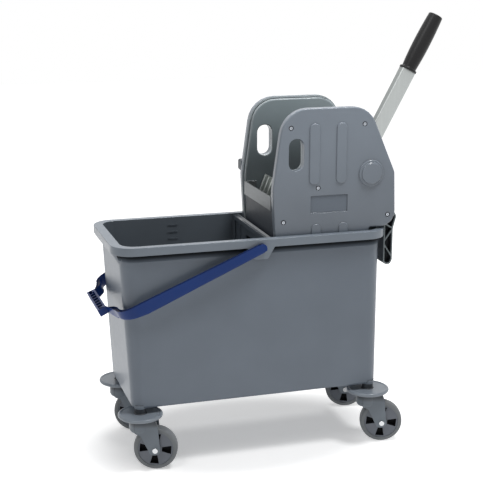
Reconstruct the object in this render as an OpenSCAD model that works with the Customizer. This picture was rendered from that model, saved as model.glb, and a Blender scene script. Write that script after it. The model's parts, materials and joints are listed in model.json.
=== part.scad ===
// Two-chamber mop bucket on castors, with a lift-out divider, a carrying bail and a lever jaw wringer.
// Millimetres. +X runs along the tank towards the wringer, +Y to the far side, +Z up.
// The origin lies on the floor, at the centre of the castor rectangle.

/* [Tank] */
// Length of the tank at its floor
tank_l = 440; // [420:1:480]
// Width of the tank at its floor
tank_w = 192; // [184:1:210]
// Height of the tank from its underside to the rim
tank_h = 282; // [260:1:310]
// Wall of the tank
tank_wall = 3.5; // [2.5:0.1:4.5]
// Floor of the tank
tank_floor = 4; // [3:0.1:6]
// Outward lean of the pouring end over the tank's height
front_lean = 15; // [8:0.5:22]
// Outward lean of the wringer end over the tank's height
rear_lean = 1; // [0.5:0.5:6]
// Outward lean of each long wall over the tank's height
side_lean = 5.5; // [3:0.5:9]
// Radius of the upright corners at the tank floor
corner_low = 18; // [16:1:24]
// Radius of the upright corners under the rim
corner_high = 28; // [24:1:32]
// Rounding between the tank's walls and its underside
tank_heel = 5; // [3:0.5:7]

/* [Rim] */
// How far the rim stands out of the walls
rim_out = 9.5; // [7:0.5:13]
// Height of the band that hangs from the rim
rim_band = 14; // [10:0.5:18]
// Thickness of the rim's top and of its band
rim_t = 3; // [2:0.1:4]
// How far the pouring lip stands out of the front wall
lip_out = 13; // [10:0.5:18]
// Height of the slant under the pouring lip
lip_slant = 24; // [16:1:32]

/* [Castors] */
// Distance of a castor's axis from the tank's end and side at the floor
castor_inset_x = 14; // [13:0.5:20]
// Distance of a castor's axis from the tank's long side at the floor
castor_inset_y = 9; // [8.5:0.5:16]
// Height of the tank's underside above the ground
castor_h = 107.5; // [105:0.5:115]
// Radius of the wheels
wheel_r = 37.5; // [35:0.5:39]
// Width of the tyres
tyre_w = 22; // [18:0.5:24]
// Thickness of the tyres at the tread
tyre_t = 7.5; // [6:0.5:9]
// Distance of the axle behind the swivel axis
trail = 25; // [22:0.5:27]
// Turn of the castors about their stems in the modelled pose, in degrees
castor_yaw = -16.9; // [-45:0.1:45]
// Radius of the bumper discs
bumper_r = 38; // [34:0.5:42]
// Radius of the castor stems
stem_r = 4.5; // [4:0.1:4.8]
// Radius of the axle bolts
axle_r = 3; // [2.5:0.1:3.5]

/* [Divider] */
// Thickness of the divider panel
divider_t = 4; // [3:0.1:5]
// Width of the finger slot in the divider
divider_slot_w = 60; // [50:1:90]
// Height of the finger slot in the divider
divider_slot_h = 22; // [18:1:30]

/* [Bail] */
// Place of the bail's pivots along the tank
bail_x = -1.2; // [-12:0.1:6]
// Depth of the bail's pivots below the top of the rim
bail_pivot_drop = 14.7; // [13:0.1:16]
// Angle of the hanging bail below the horizontal, in degrees
bail_drop = 24; // [22:0.5:26]
// Thickness of the bail's band
bail_t = 6.5; // [5:0.5:8]
// Height of the bail's band at its corners
bail_h = 23; // [20:1:26]
// Height of the bail's band at its pivots
bail_eye_h = 17; // [15:0.5:19]
// Length of the bail's grip
grip_span = 112; // [100:1:124]
// How far the grip stands out from the bail's band
grip_out = 16; // [14:0.5:20]
// Width of the bail's grip
grip_w = 15; // [14:0.5:20]

/* [Wringer housing] */
// Length of the housing from its front edge to its rear edge
housing_l = 222.5; // [216:0.5:227]
// Height of the housing above the rim
housing_h = 211.5; // [200:0.5:225]
// Depth of the housing below the rim
housing_drop = 92; // [84:1:100]
// How far the housing reaches past the rim at the rear
housing_past_rim = 15.5; // [12:0.5:19]
// Distance of an outer cover's face inside the tank's long side at the floor
housing_inset = 1; // [0:0.5:3]
// Thickness of an inner cover
inner_cover_t = 8; // [7:0.5:8.5]
// Thickness of an outer cover
outer_cover_t = 12; // [10:0.5:12.5]
// Wall of the covers
cover_wall = 2.5; // [2:0.1:3]
// Rounding of the outer covers' edges
cover_round = 2.5; // [1.5:0.5:4]
// How far an inner cover's outline stays inside the outer cover's
cover_step = 4; // [3:0.5:6]
// Width of the hand slots
slot_w = 27; // [22:0.5:32]
// Height of the hand slots
slot_h = 54; // [48:1:64]

/* [Lever and jaw] */
// Radius of the lever shaft
shaft_r = 8; // [7:0.1:9]
// Angle of the resting lever above the horizontal, in degrees
lever_angle = 61.7; // [58:0.1:66]
// Length of the lever from the shaft to the tip of its grip
lever_l = 292; // [260:1:330]
// Length of the lever's grip
grip_l = 105; // [90:1:120]
// Width of the lever tube
tube_w = 27; // [23:0.5:28]
// Thickness of the lever tube
tube_t = 17; // [14:0.5:18]
// Wall of the lever tube
tube_wall = 1.5; // [1:0.1:2.5]
// Place of the lever across the well, from its middle
lever_y = -34.5; // [-40:0.5:-32]
// Length of the cranks from the shaft to the roller
crank_l = 95; // [88:0.5:98]
// Swing of the lever between its open and closed ends, in degrees
lever_swing = 46; // [40:1:48]
// Radius of the crank rollers
roller_r = 6; // [5:0.1:7]
// Radius of the rod that the jaw turns on
hinge_r = 5; // [4:0.1:6]
// Thickness of the jaw's sheet
sheet_t = 2.5; // [1.5:0.1:3]
// Height of the jaw's upright part above its hinge
jaw_h = 123; // [115:1:128]
// Length of the jaw's leaning lip
jaw_lip = 32; // [26:1:36]
// Lean of the jaw's lip, in degrees
jaw_lip_lean = 22; // [16:0.5:26]

/* [Hidden] */
$fn = 48;
// Clearances: turning fit, still fit, and the gap between faces that pass each other
turn_fit = 0.06;
still_fit = 0.05;
pass_gap = 0.3;
// A cut's run past the faces that it goes through
over = 1;
// Thin slab that starts and ends a tapered wall
slab = 0.02;

ENDS = ["front", "rear"];
SIDES = ["near", "far"];
CASTOR_PARTS = ["castor_stem", "bumper_disc", "fork", "axle", "wheel", "tyre"];
FIXED_NODES = ["bucket", "divider", "bail_pins", "near_inner_cover", "near_outer_cover",
    "far_inner_cover", "far_outer_cover", "cover_screws", "near_shaft_bush", "far_shaft_bush",
    "front_cross_bar", "front_jaw", "rear_stop_rod", "jaw_hinge_rod", "near_rear_hook", "far_rear_hook"];
MOVING_NODES = ["bail", "lever_shaft", "lever_tube", "lever_grip", "near_crank", "far_crank",
    "crank_rollers", "press_plate", "near_jaw_cheek", "far_jaw_cheek"];

// Tank levels and half sizes
floor_z = castor_h;
rim_z = floor_z + tank_h;
rim_rear = tank_l / 2 + rear_lean + rim_out;
rim_front = -tank_l / 2 - front_lean - lip_out;
rim_side = tank_w / 2 + side_lean + rim_out;
rim_corner = corner_high + rim_out;
castor_x = tank_l / 2 - castor_inset_x;
castor_y = tank_w / 2 - castor_inset_y;

// Share of the tank's height at a level, and the outside of its walls there
function share(z) = (z - floor_z) / tank_h;
function front_at(z) = -tank_l / 2 - front_lean * share(z);
function rear_at(z) = tank_l / 2 + rear_lean * share(z);
function side_at(z) = tank_w / 2 + side_lean * share(z);
function corner_at(z) = corner_low + (corner_high - corner_low) * share(z);

// Wringer places, counted from the rim and the housing
housing_out = tank_w / 2 - housing_inset;
split_y = housing_out - outer_cover_t;
well = split_y - inner_cover_t;
well_w = 2 * well;
housing_rear = rim_rear + housing_past_rim;
housing_front = housing_rear - housing_l;
housing_top = rim_z + housing_h;
housing_low = rim_z - housing_drop;
shaft_x = housing_rear - 47.5;
shaft_z = rim_z + 98;
hinge_x = housing_front + 36.5;
hinge_z = housing_low + 14;
divider_x = housing_front - 6.5;

// Jaw drive: the roller runs in a slot that points at the jaw's hinge
reach = norm([shaft_x - hinge_x, shaft_z - hinge_z]);
line_angle = atan2(shaft_z - hinge_z, shaft_x - hinge_x);
half_swing = lever_swing / 2;
half_open = atan(crank_l * sin(half_swing) / (reach - crank_l * cos(half_swing)));
crank_angle = 180 + line_angle - half_swing;
slot_angle = line_angle + half_open;
slot_near = reach - crank_l;
slot_far = norm([reach - crank_l * cos(half_swing), crank_l * sin(half_swing)]);
slot_play = 2;
echo(lever_swing_deg = lever_swing, jaw_opens_deg = 2 * half_open, ratio = -half_open / half_swing);

// Shapes shared by several pieces

// Outline with rounded corners: each corner is [x, y, radius], in anticlockwise order, moved in by inset
function left_of(v) = [-v[1], v[0]];
function unit(v) = v / norm(v);
function moved_corner(a, b, c, inset) =
    let (n1 = left_of(unit(b - a)), n2 = left_of(unit(c - b)))
    b + inset * (n1 + n2) / (1 + n1 * n2);
function turns_left(a, b, c) = cross([b[0] - a[0], b[1] - a[1]], [c[0] - b[0], c[1] - b[1]]) > 0;
function arc_steps(a, b, c) = max(2, ceil(acos(unit(b - a) * unit(c - b)) / 14));
function fillet_points(a, b, c, r) =
    r <= 0 ? [b] :
    let (u = unit(a - b), v = unit(c - b), half = acos(u * v) / 2, n = arc_steps(a, b, c))
    let (middle = b + unit(u + v) * r / sin(half))
    let (from = b + u * r / tan(half) - middle, to = b + v * r / tan(half) - middle)
    let (start = atan2(from[1], from[0]), turn = atan2(cross(from, to), from * to))
    [for (i = [0:n]) middle + r * [cos(start + turn * i / n), sin(start + turn * i / n)]];
function flat_point(p) = [p[0], p[1]];
function outline_points(corners, inset = 0) =
    let (n = len(corners), flat = [for (p = corners) flat_point(p)])
    let (moved = [for (i = [0:n - 1]) moved_corner(flat[(i + n - 1) % n], flat[i], flat[(i + 1) % n], inset)])
    [for (i = [0:n - 1])
        let (a = moved[(i + n - 1) % n], b = moved[i], c = moved[(i + 1) % n])
        let (r = corners[i][2] + (turns_left(a, b, c) ? -inset : inset))
        each fillet_points(a, b, c, corners[i][2] == 0 ? 0 : r)];

module outline(corners, inset = 0) {
    polygon(outline_points(corners, inset));
}

// Straight pull of a flat shape drawn in X and Z, between two places along Y
module along_y(y0, y1) {
    translate([0, y1, 0]) rotate([90, 0, 0]) linear_extrude(y1 - y0) children();
}

// Straight pull of a flat shape drawn in Y and Z, between two places along X
module along_x(x0, x1) {
    translate([x0, 0, 0]) rotate([90, 0, 90]) linear_extrude(x1 - x0) children();
}

// Straight pull of a flat shape between two levels
module between(z0, z1) {
    translate([0, 0, z0]) linear_extrude(z1 - z0) children();
}

// Rounded rectangle between two places along X, with the same reach to both sides
module plan(x0, x1, half_w, r) {
    outline([[x0, -half_w, r], [x1, -half_w, r], [x1, half_w, r], [x0, half_w, r]]);
}

// The same piece on the near side, as drawn, or mirrored to the far side
module on_side(far) {
    mirror([0, far ? 1 : 0, 0]) children();
}

// Round bar or hole across the wringer, at a place in X and Z
module cross_rod(x, z, r, y0, y1) {
    translate([x, y0, z]) rotate([-90, 0, 0]) cylinder(r = r, h = y1 - y0);
}

// Tank

module tank_plan(z, inset) {
    plan(front_at(z) + inset, rear_at(z) - inset, side_at(z) - inset, corner_at(z) - inset);
}

module tank_level(z, inset = 0) {
    between(z, z + slab) tank_plan(z, inset);
}

module tank_outside() {
    heel_step = tank_heel * 0.3;
    hull() {
        tank_level(floor_z, tank_heel);
        tank_level(floor_z + heel_step, heel_step);
        tank_level(floor_z + tank_heel);
        tank_level(rim_z - slab);
    }
}

module tank_inside() {
    inner_floor = floor_z + tank_floor;
    hull() {
        tank_level(inner_floor, tank_wall + tank_heel);
        tank_level(inner_floor + tank_heel, tank_wall);
        tank_level(rim_z + over, tank_wall);
    }
}

module rim_plan(inset = 0) {
    plan(rim_front + inset, rim_rear - inset, rim_side - inset, rim_corner - inset);
}

// Top flange with its hanging band
module rim() {
    between(rim_z - rim_t, rim_z) rim_plan();
    between(rim_z - rim_band, rim_z - rim_t) difference() {
        rim_plan();
        rim_plan(rim_t);
    }
}

// Flare that blends the pouring lip into the front wall; its sides stay inside the side walls
module lip() {
    lip_end = rim_front + rim_corner;
    lip_foot = rim_z - rim_band - lip_slant;
    foot_in = tank_wall / 2;
    foot_end = front_at(lip_foot) + foot_in + slab;
    half = side_at(lip_foot) - foot_in;
    hull() {
        between(rim_z - rim_band, rim_z - rim_t)
            outline([[rim_front, -half, rim_corner], [lip_end + slab, -half, 0],
                [lip_end + slab, half, 0], [rim_front, half, rim_corner]]);
        between(lip_foot, lip_foot + slab) intersection() {
            tank_plan(lip_foot, foot_in);
            translate([rim_front, -rim_side]) square([foot_end - rim_front, 2 * rim_side]);
        }
    }
}

bail_z = rim_z - bail_pivot_drop;
bail_pin_r = 5;
bail_gap = 1;
bail_in = rim_side + bail_gap;
bail_pin_in = rim_side - 8;
bail_eye_depth = 3.5;

// Ear under the rim that carries one pivot of the bail
module bail_ear() {
    ear_top = 24;
    ear_low = 12;
    ear_drop = 34;
    along_y(-rim_side, -side_at(rim_z - ear_drop) + tank_wall / 2)
        outline([[bail_x - ear_low, rim_z - ear_drop, 6], [bail_x + ear_low, rim_z - ear_drop, 6],
            [bail_x + ear_top, rim_z - rim_band, 4], [bail_x + ear_top, rim_z - rim_t, 0],
            [bail_x - ear_top, rim_z - rim_t, 0], [bail_x - ear_top, rim_z - rim_band, 4]]);
}

// Upright rib on a long wall between two levels, standing in to a half width at each
module wall_rib(x, t, foot, top, half_in_low, half_in_top) {
    skin = tank_wall / 2;
    along_x(x - t / 2, x + t / 2)
        polygon([[-side_at(foot) + skin, foot], [-half_in_low, foot], [-half_in_top, top],
            [-side_at(top) + skin, top]]);
}

divider_gap = 0.6;
guide_t = 3;
guide_in = 7;
divider_top = rim_z - 2;
divider_bead_h = 9;
divider_bead_t = 11;
guide_top = divider_top - divider_bead_h - divider_gap;
support_t = 4;
support_h = 26;
support_half = well + 4;
support_root = tank_wall * 0.75;
support_x = [housing_front + 40, housing_front + 140];

module divider_guides() {
    step = divider_t / 2 + divider_gap + guide_t / 2;
    for (x = [divider_x - step, divider_x + step])
        wall_rib(x, guide_t, floor_z + tank_floor / 2, guide_top, side_at(floor_z) - tank_wall - guide_in,
            side_at(guide_top) - tank_wall - guide_in);
}

module castor_places() {
    for (x = [-castor_x, castor_x])
        for (y = [-castor_y, castor_y])
            translate([x, y, 0]) children();
}

stem_top = floor_z + 36;
socket_r = 8;
foot_r = 10.5;
foot_h = 7;

module bucket() {
    color([0.44, 0.47, 0.50]) difference() {
        union() {
            difference() {
                union() {
                    tank_outside();
                    rim();
                    lip();
                    for (far = [false, true])
                        on_side(far) bail_ear();
                }
                tank_inside();
            }
            for (far = [false, true])
                on_side(far) {
                    divider_guides();
                    for (x = support_x)
                        wall_rib(x, support_t, housing_low - support_h, housing_low,
                            side_at(housing_low - support_h) - support_root, support_half);
                }
            castor_places() {
                translate([0, 0, floor_z + tank_heel]) cylinder(r = socket_r, h = stem_top - floor_z);
                translate([0, 0, floor_z]) cylinder(r = foot_r, h = foot_h);
            }
        }
        castor_places() translate([0, 0, floor_z - over])
            cylinder(r = stem_r + still_fit, h = stem_top - floor_z + over + still_fit);
        for (far = [false, true])
            on_side(far) cross_rod(bail_x, bail_z, bail_pin_r + still_fit, -rim_side - over, -bail_pin_in);
    }
}

// Panel that slides down between the guides and parts the tank into two chambers
module divider() {
    foot = floor_z + tank_floor + tank_heel + divider_gap;
    half_low = side_at(foot) - tank_wall - divider_gap;
    half_top = side_at(divider_top) - tank_wall - divider_gap;
    bead_low = divider_top - divider_bead_h;
    half_bead = side_at(bead_low) - tank_wall - divider_gap;
    slot_top = divider_top - 23;
    rib_out = 2;
    color([0.36, 0.39, 0.42]) {
        difference() {
            along_x(divider_x - divider_t / 2, divider_x + divider_t / 2)
                polygon([[-half_low, foot], [half_low, foot], [half_bead, bead_low], [-half_bead, bead_low]]);
            along_x(divider_x - divider_t, divider_x + divider_t)
                outline([[-divider_slot_w / 2, slot_top - divider_slot_h, 6],
                    [divider_slot_w / 2, slot_top - divider_slot_h, 6],
                    [divider_slot_w / 2, slot_top, 6], [-divider_slot_w / 2, slot_top, 6]]);
        }
        along_x(divider_x - divider_bead_t / 2, divider_x + divider_bead_t / 2)
            polygon([[-half_bead, bead_low], [half_bead, bead_low], [half_top, divider_top],
                [-half_top, divider_top]]);
        for (y = [-divider_slot_w, divider_slot_w])
            translate([divider_x - divider_t / 2 - rib_out, y - divider_t / 2, foot])
                cube([divider_t + 2 * rib_out, divider_t, bead_low - foot]);
    }
}

// Bail

module bail_pins() {
    color([0.44, 0.47, 0.50]) for (far = [false, true])
        on_side(far) cross_rod(bail_x, bail_z, bail_pin_r, -bail_in - bail_eye_depth + pass_gap, -bail_pin_in);
}

// Distance along the hanging bail from its pivot to the tank's front wall, at the front band's lower edge
bail_low = -bail_eye_h / 2;
bail_front_low = bail_low + 6;
function bail_touch(a) =
    let (side = [bail_x - bail_front_low * sin(a), bail_z + bail_front_low * cos(a)])
    let (lean = front_lean / tank_h)
    (side[0] - front_at(side[1])) / (cos(a) + lean * sin(a));
bail_rest_gap = 3;
bail_run = bail_touch(bail_drop) + bail_rest_gap;
bail_side = bail_in + bail_t;
bail_corner = 30;
bail_grip_in = bail_run + grip_out;
bail_grip_out = bail_grip_in + grip_w;
bail_rib_n = 7;
bail_skin = 3.2;
bail_taper = 215;
bail_top = bail_low + bail_h;
bail_grip_low = 4;
bail_grip_top = bail_top + 2;

// Flat shape of the band on the near side, drawn outwards along -X from the pivot
module bail_half_plan() {
    turn_x = -(bail_run + bail_t - bail_corner);
    turn_y = -(bail_side - bail_corner);
    half_grip = grip_span / 2;
    step_y = -half_grip - bail_t;
    translate([turn_x, -bail_side]) square([-turn_x, bail_t]);
    difference() {
        intersection() {
            translate([turn_x, turn_y]) circle(r = bail_corner);
            translate([turn_x - bail_corner, turn_y - bail_corner]) square(bail_corner);
        }
        translate([turn_x, turn_y]) circle(r = bail_corner - bail_t);
    }
    polygon([[-bail_run, turn_y], [-bail_run - bail_t, turn_y], [-bail_run - bail_t, step_y + bail_t / 4],
        [-bail_grip_in - bail_t, -half_grip + bail_t], [-bail_grip_in - bail_t, -half_grip + 2 * bail_t],
        [-bail_grip_in, -half_grip + 2 * bail_t], [-bail_grip_in, -half_grip + bail_t * 0.8],
        [-bail_run, step_y + bail_t]]);
}

// Side view of the band: narrow at the pivot, deep at the corner, stepped up to the grip
module bail_side_view() {
    far_end = -bail_grip_out - over;
    polygon([[0, bail_low], [0, -bail_low], [-bail_taper, bail_top], [-bail_run - bail_t, bail_top],
        [-bail_grip_in, bail_grip_top], [far_end, bail_grip_top], [far_end, bail_grip_low],
        [-bail_grip_in, bail_grip_low], [-bail_run - bail_t, bail_front_low], [-bail_taper, bail_low]]);
}

// Trough of the grip with its cross ribs
module bail_grip() {
    half = grip_span / 2;
    pitch = (grip_span - bail_skin) / (bail_rib_n + 1);
    grip_h = bail_grip_top - bail_grip_low;
    rib_h = grip_h - 2;
    translate([-bail_grip_out, -half, bail_grip_low]) {
        cube([grip_w, grip_span, bail_skin]);
        cube([bail_skin, grip_span, grip_h]);
        translate([grip_w - bail_skin, 0, 0]) cube([bail_skin, grip_span, grip_h]);
        for (y = [0, grip_span - bail_skin])
            translate([0, y, 0]) cube([grip_w, bail_skin, grip_h]);
        for (i = [1:bail_rib_n])
            translate([0, i * pitch, 0]) cube([grip_w, bail_skin, rib_h]);
    }
}

module bail() {
    eye_r = bail_eye_h / 2;
    color([0.13, 0.22, 0.45]) translate([bail_x, 0, bail_z]) rotate([0, -bail_drop, 0]) difference() {
        union() {
            for (far = [false, true])
                on_side(far) {
                    intersection() {
                        between(bail_low, bail_grip_top) bail_half_plan();
                        along_y(-bail_side - over, over) bail_side_view();
                    }
                    cross_rod(0, 0, eye_r, -bail_side, -bail_in);
                }
            bail_grip();
        }
        for (far = [false, true])
            on_side(far)
                cross_rod(0, 0, bail_pin_r + turn_fit, -bail_in - bail_eye_depth, -bail_in + over);
    }
}

// Wringer housing

// Outline of the covers in X and Z, anticlockwise from the lower front corner
ledge_z = rim_z + 4;
housing_in_tank = rear_at(housing_low) - tank_wall - 20;
HOUSING = [[housing_front + 9.5, housing_low, 8], [housing_in_tank, housing_low, 8],
    [housing_in_tank, ledge_z, 4], [housing_rear, ledge_z, 26], [housing_rear - 3.7, shaft_z, 12],
    [housing_rear - 53, housing_top, 45], [housing_front + 19, housing_top, 48],
    [housing_front, rim_z + 76, 100]];
slot_x = housing_front + 41;
slot_z = rim_z + 135;
slot_round = slot_w / 2 - 0.5;
SLOT = [[slot_x - slot_w / 2, slot_z - slot_h / 2, slot_round],
    [slot_x + slot_w / 2, slot_z - slot_h / 2, slot_round],
    [slot_x + slot_w / 2, slot_z + slot_h / 2, slot_round],
    [slot_x - slot_w / 2, slot_z + slot_h / 2, slot_round]];
SCREWS = [[housing_front + 31, rim_z + 180], [housing_rear - 61, rim_z + 182],
    [housing_front + 80, rim_z + 77.5], [housing_front + 19, rim_z + 22],
    [housing_rear - 15, rim_z + 24.5]];
screw_r = 2;
post_r = 4.5;
boss_r = 22.5;
boss_out = 2.5;
cap_r = 18;
cap_out = 5;
bush_r = 11;
bush_flange_r = 14;
bush_flange_t = 2;
slot_collar = 2.5;

// Stop rod: the lever's rear face rests on it
stop_r = 6;
stop_along = 10;
stop_out = tube_w / 2 + stop_r + pass_gap;
stop_x = shaft_x + stop_along * cos(lever_angle) + stop_out * sin(lever_angle);
stop_z = shaft_z + stop_along * sin(lever_angle) - stop_out * cos(lever_angle);

// Rounded slab of the housing's outline: straight at y0, with a rounded edge at y1, drawn towards -Y
module rounded_slab(y0, y1, r) {
    middle = [housing_in_tank - 45, shaft_z - 40];
    rings = [for (a = [0, 30, 60, 90]) [r * (1 - cos(a)), y1 + r - r * sin(a)]];
    loops = concat([[for (p = outline_points(HOUSING)) [p[0], y0, p[1]]]],
        [for (k = rings) [for (p = outline_points(HOUSING, k[0])) [p[0], k[1], p[1]]]]);
    n = len(loops[0]);
    last = len(loops) - 1;
    back = n * len(loops);
    polyhedron(
        points = concat([for (l = loops) each l],
            [[middle[0], y0, middle[1]], [middle[0], y1, middle[1]]]),
        faces = concat([for (i = [0:n - 1]) [back, i, (i + 1) % n]],
            [for (i = [0:n - 1]) [back + 1, last * n + (i + 1) % n, last * n + i]],
            [for (k = [0:last - 1]) for (i = [0:n - 1])
                [k * n + i, (k + 1) * n + i, k * n + (i + 1) % n]],
            [for (k = [0:last - 1]) for (i = [0:n - 1])
                [k * n + (i + 1) % n, (k + 1) * n + i, (k + 1) * n + (i + 1) % n]]),
        convexity = 4);
}

// Raised ribs and the bare recess on an outer cover
rib_out = 2;
module cover_ribs() {
    rib_w = 18;
    rib_foot = rim_z + 84;
    rib_top = housing_top - 25.5;
    low_w = 17;
    low_top = rim_z + 16;
    for (x = [housing_front + 63.5, housing_front + 111.5])
        along_y(-housing_out - rib_out, -housing_out)
            outline([[x, rib_foot, 8], [x + rib_w, rib_foot, 8], [x + rib_w, rib_top, 8], [x, rib_top, 8]]);
    for (x = [housing_front + 68.5, housing_front + 117.5])
        along_y(-housing_out - rib_out, -housing_out)
            outline([[x, rim_z - rim_band, 2], [x + low_w, rim_z - rim_band, 2], [x + low_w, low_top, 8],
                [x, low_top, 8]]);
}

module cover_recess() {
    recess = 1.6;
    x0 = housing_front + 67;
    x1 = housing_front + 133;
    z0 = rim_z + 34.5;
    z1 = rim_z + 64.5;
    along_y(-housing_out - over, -housing_out + recess)
        outline([[x0, z0, 2], [x1, z0, 2], [x1, z1, 2], [x0, z1, 2]]);
}

module screw_posts(y0, y1, r) {
    for (s = SCREWS)
        cross_rod(s[0], s[1], r, y0, y1);
}

// Moulded outer shell, drawn on the near side
module outer_cover() {
    sink_r = 4.2;
    sink = 1.8;
    difference() {
        union() {
            difference() {
                rounded_slab(-split_y, -housing_out, cover_round);
                along_y(-housing_out + cover_wall, -split_y + over) outline(HOUSING, cover_wall + 1);
            }
            cover_ribs();
            cross_rod(shaft_x, shaft_z, boss_r, -housing_out - boss_out, -housing_out + cover_wall);
            cross_rod(shaft_x, shaft_z, cap_r, -housing_out - cap_out, -housing_out);
            along_y(-housing_out + cover_wall / 2, -split_y) outline(SLOT, -slot_collar);
            screw_posts(-housing_out + cover_wall / 2, -split_y, post_r);
        }
        along_y(-housing_out - over, -split_y + over) outline(SLOT);
        cover_recess();
        screw_posts(-housing_out - over, -split_y + over, screw_r + still_fit);
        screw_posts(-housing_out - over, -housing_out + sink, sink_r);
        cross_rod(shaft_x, shaft_z, bush_r, -housing_out - cap_out + cover_wall, -split_y);
    }
}

// Moulded inner shell, drawn on the near side: it carries the shaft bush and the rods
module inner_cover() {
    boss = 3;
    difference() {
        union() {
            difference() {
                along_y(-split_y, -well) outline(HOUSING, cover_step);
                along_y(-split_y - over, -well - cover_wall) outline(HOUSING, cover_step + cover_wall);
            }
            along_y(-split_y, -well - cover_wall / 2) outline(SLOT, -slot_collar);
            screw_posts(-split_y, -well - cover_wall / 2, post_r);
            cross_rod(shaft_x, shaft_z, bush_r + boss, -split_y, -well - cover_wall / 2);
            cross_rod(stop_x, stop_z, stop_r + boss, -split_y, -well - cover_wall / 2);
            cross_rod(hinge_x, hinge_z, hinge_r + boss, -split_y, -well - cover_wall / 2);
        }
        along_y(-split_y - over, -well + over) outline(SLOT);
        screw_posts(-split_y - over, -well - cover_wall / 2, screw_r + still_fit);
        cross_rod(shaft_x, shaft_z, bush_r + still_fit, -split_y - over, -well + over);
        cross_rod(stop_x, stop_z, stop_r + still_fit, -split_y - over, -well + over);
        cross_rod(hinge_x, hinge_z, hinge_r + still_fit, -split_y - over, -well + over);
    }
}

module housing_cover(far, inner) {
    color(inner ? [0.40, 0.43, 0.46] : [0.48, 0.51, 0.54]) on_side(far) {
        if (inner)
            inner_cover();
        else
            outer_cover();
    }
}

// Holder peg at the front edge of the far outer cover
module far_peg() {
    peg_l = 15;
    peg_h = 20;
    peg_out = 15;
    x0 = housing_front + 1;
    z0 = rim_z + 78;
    along_y(housing_out - cover_round, housing_out + peg_out)
        outline([[x0, z0, 4], [x0 + peg_l, z0, 4], [x0 + peg_l, z0 + peg_h, 4], [x0, z0 + peg_h, 4]]);
}

module cover_screws() {
    head_r = 3.2;
    head_t = 1.8;
    color([0.78, 0.77, 0.74]) for (far = [false, true])
        on_side(far) {
            screw_posts(-housing_out, -housing_out + head_t, head_r);
            screw_posts(-housing_out, -well - cover_wall, screw_r);
        }
}

// Flanged bearing bush for one end of the lever shaft
module shaft_bush(far) {
    color([0.85, 0.84, 0.80]) on_side(far) difference() {
        union() {
            cross_rod(shaft_x, shaft_z, bush_r, -split_y, -well);
            cross_rod(shaft_x, shaft_z, bush_flange_r, -well, -well + bush_flange_t);
        }
        cross_rod(shaft_x, shaft_z, shaft_r + turn_fit, -split_y - over, -well + bush_flange_t + over);
    }
}

// Galvanised front bar with a folded tab at each end
bar_t = 2.5;
bar_h = 24;
bar_tab = 22;
bar_x = housing_front + 2.5;
bar_z = rim_z + 39;
module front_cross_bar() {
    color([0.62, 0.63, 0.62]) {
        translate([bar_x, -well, bar_z]) cube([bar_t, well_w, bar_h]);
        for (far = [false, true])
            on_side(far) translate([bar_x, -well, bar_z]) cube([bar_tab, bar_t, bar_h]);
    }
}

// Slotted plastic panel that the mop is pressed against, below the bar
module front_jaw() {
    jaw_t = 4;
    jaw_x = housing_front + 6;
    foot = housing_low + 4;
    top = bar_z - pass_gap;
    drain_top = rim_z - 19;
    slot_n = 7;
    drain_w = 9;
    drain_edge = 12;
    cheek = 14;
    pitch = well_w / (slot_n + 1);
    color([0.33, 0.36, 0.39]) difference() {
        union() {
            translate([jaw_x, -well, foot]) cube([jaw_t, well_w, top - foot]);
            for (far = [false, true])
                on_side(far) translate([jaw_x, -well, foot]) cube([cheek, jaw_t, top - foot]);
        }
        for (i = [1:slot_n])
            translate([jaw_x - over, -well + i * pitch - drain_w / 2, foot + drain_edge])
                cube([jaw_t + 2 * over, drain_w, drain_top - foot - drain_edge]);
    }
}

module rear_stop_rod() {
    color([0.70, 0.71, 0.70]) cross_rod(stop_x, stop_z, stop_r, -split_y, split_y);
}

module jaw_hinge_rod() {
    color([0.70, 0.71, 0.70]) cross_rod(hinge_x, hinge_z, hinge_r, -split_y, split_y);
}

// Ribbed hook behind the rear rim, fixed to the inner cover
hook_w = 28;
hook_clear = 3.5;
hook_x = rim_rear + hook_clear;
hook_t = 17;
module rear_hook(far) {
    top = rim_z + 34;
    foot = rim_z - 70;
    wall = 2.6;
    bulge = 6;
    waist = rim_z - 6;
    web_y = -well + hook_w / 2;
    corners = [[hook_x, foot + 4, 4], [hook_x + 5, foot, 4], [hook_x + hook_t - 4, foot, 5],
        [hook_x + hook_t, foot + 8, 5], [hook_x + hook_t, waist, 8],
        [hook_x + hook_t + bulge, rim_z + 16, 8], [hook_x + hook_t - 2, rim_z + 30, 5],
        [hook_x + 4, top, 3], [hook_x - 18, top, 3], [hook_x - 18, ledge_z, 3], [hook_x, ledge_z, 2]];
    brace = [[hook_x, rim_z - 30], [hook_x + hook_t, waist],
        [hook_x, rim_z - 32], [hook_x + hook_t, rim_z - 58],
        [hook_x, ledge_z], [hook_x + hook_t, waist],
        [hook_x - 2, ledge_z], [hook_x + hook_t - 2, top - 4]];
    pad = [12, 40];
    pad_foot = [hook_x - 20, rim_z + 2];
    color([0.36, 0.39, 0.42]) on_side(far) difference() {
        along_y(-well, -well + hook_w) outline(corners);
        for (y = [[-well - over, web_y - wall / 2], [web_y + wall / 2, -well + hook_w + over]])
            along_y(y[0], y[1]) difference() {
                outline(corners, wall);
                for (i = [0:2:len(brace) - 1])
                    strip(brace[i], brace[i + 1], wall);
                translate(pad_foot) square(pad);
            }
    }
}

// Flat strip between two points
module strip(a, b, w) {
    side = left_of(unit(b - a)) * w / 2;
    polygon([a + side, a - side, b - side, b + side]);
}

// Lever, shaft and cranks

crank_t = 5;
crank_out = -lever_y - tube_t / 2;
crank_in = crank_out - crank_t;
cheek_t = 4;
cheek_gap = 1;
cheek_out = crank_in - cheek_gap;
cheek_in = cheek_out - cheek_t;
roller_x = shaft_x + crank_l * cos(crank_angle);
roller_z = shaft_z + crank_l * sin(crank_angle);

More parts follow.
